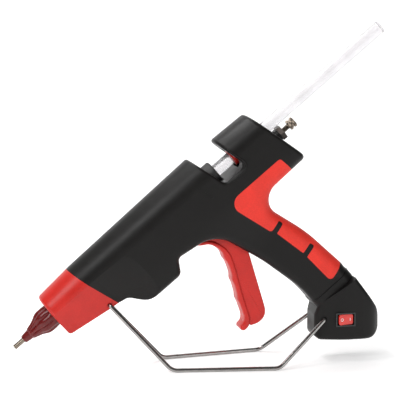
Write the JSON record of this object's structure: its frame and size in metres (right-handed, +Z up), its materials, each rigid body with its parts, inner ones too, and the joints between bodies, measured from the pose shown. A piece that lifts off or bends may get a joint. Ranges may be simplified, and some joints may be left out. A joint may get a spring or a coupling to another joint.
{
  "type": "glue gun",
  "caption": "Heavy-duty hot-melt glue gun with trigger feed, soft grip inlays, insulated nozzle, rear stroke adjuster and rocker switch, resting nose-down on a bent-wire stand.",
  "frame": {"origin": "centre of the overall box, on the surface that the stand's rails rest on", "axes": "+Z up, +X towards the rear of the gun (where the stick enters), +Y to the far side; the mould seam is the plane y = 0"},
  "size_m": [0.3482, 0.079, 0.317],
  "materials": {
    "red_cap": "semi-gloss moulded nylon",
    "body_black": "fine-textured glass-filled nylon",
    "grip_red": "soft-touch elastomer",
    "sleeve_red": "translucent silicone",
    "trigger_red": "satin moulded nylon",
    "aluminium": "machined",
    "heater_steel": "drawn tube",
    "screw_steel": "zinc plated",
    "nut_dark": "blackened",
    "nickel": "nickel plated, knurled",
    "chrome_wire": "bright drawn wire",
    "mica": "mica sheet",
    "phenolic": "phenolic resin",
    "cuff_rubber": "moulded rubber",
    "nylon": "natural nylon",
    "switch_black": "glossy thermoplastic",
    "rocker_red": "translucent lens plastic",
    "board_green": "glass-epoxy laminate",
    "lead_sleeve": "woven glass sleeving",
    "glue": "milky translucent hot-melt adhesive"
  },
  "bodies": {
    "gun": {"nose_cap": "red_cap", "right_housing": "body_black", "left_housing": "body_black", "right_grip_pad": "grip_red", "left_grip_pad": "grip_red", "housing_screws": "screw_steel", "nozzle": "nickel", "nozzle_sleeve": "sleeve_red", "melt_chamber": "aluminium", "cartridge_heater": "heater_steel", "thermal_fuse": "heater_steel", "thermostat": "heater_steel", "heat_shield": "mica", "front_chamber_ring": "phenolic", "rear_chamber_ring": "phenolic", "inlet_cuff": "cuff_rubber", "stick_guide": "body_black", "trigger_pin": "screw_steel", "adjuster_bushing": "body_black", "adjuster_lock_nut": "nut_dark", "grip_collar": "body_black", "base": "body_black", "base_cover": "body_black", "cover_screws": "screw_steel", "switch_body": "switch_black", "cord_gland": "cuff_rubber", "terminal_board": "board_green", "heater_leads": "lead_sleeve", "wire_stand": "chrome_wire", "trigger_spring": "screw_steel"},
    "trigger": {"trigger": "trigger_red", "trigger_arm_pin": "screw_steel"},
    "carriage": {"feed_carriage": "trigger_red", "clamp_pin": "screw_steel"},
    "clamp": {"clamp_lever": "screw_steel"},
    "stick": {"glue_stick": "glue"},
    "stop": {"stop_pad": "nylon"},
    "adjuster": {"adjuster_screw": "nickel"},
    "rocker": {"switch_rocker": "rocker_red"}
  },
  "joints": [
    {"name": "trigger_pull", "type": "hinge", "parent": "gun", "child": "trigger", "pos_m": [0.01214, 0, 0.12494], "axis": [0, -1, 0], "range_deg": [0, 22], "stiffness_Nm_per_rad": 0.5, "springref_deg": -17.19, "deforming": ["trigger_spring"]},
    {"name": "stick_feed", "type": "slide", "parent": "gun", "child": "carriage", "axis": [-0.766, 0, -0.6428], "range_m": [0, 0.00959]},
    {"name": "clamp_tilt", "type": "hinge", "parent": "carriage", "child": "clamp", "pos_m": [0.04749, 0, 0.19638], "axis": [0, 1, 0], "range_deg": [0, 3.05]},
    {"name": "stick_slide", "type": "slide", "parent": "carriage", "child": "stick", "axis": [0.766, 0, 0.6428], "range_m": [0, 0.14]},
    {"name": "adjuster_feed", "type": "slide", "parent": "gun", "child": "stop", "axis": [-0.766, 0, -0.6428], "range_m": [0, 0.0052]},
    {"name": "adjuster_turn", "type": "hinge", "parent": "stop", "child": "adjuster", "pos_m": [0.06577, 0, 0.20727], "axis": [-0.766, 0, -0.6428], "range_deg": [0, 2350]},
    {"name": "switch_rock", "type": "hinge", "parent": "gun", "child": "rocker", "pos_m": [0.13372, -0.0205, 0.04133], "axis": [0, 0, 1], "range_deg": [-20, 0]}
  ],
  "couplings": [
    {"joint": "stick_feed", "follows": "trigger_pull", "m_per_rad": 0.024847},
    {"joint": "clamp_tilt", "follows": "trigger_pull", "ratio": 0.13636},
    {"joint": "adjuster_turn", "follows": "adjuster_feed", "rad_per_m": 7854}
  ]
}
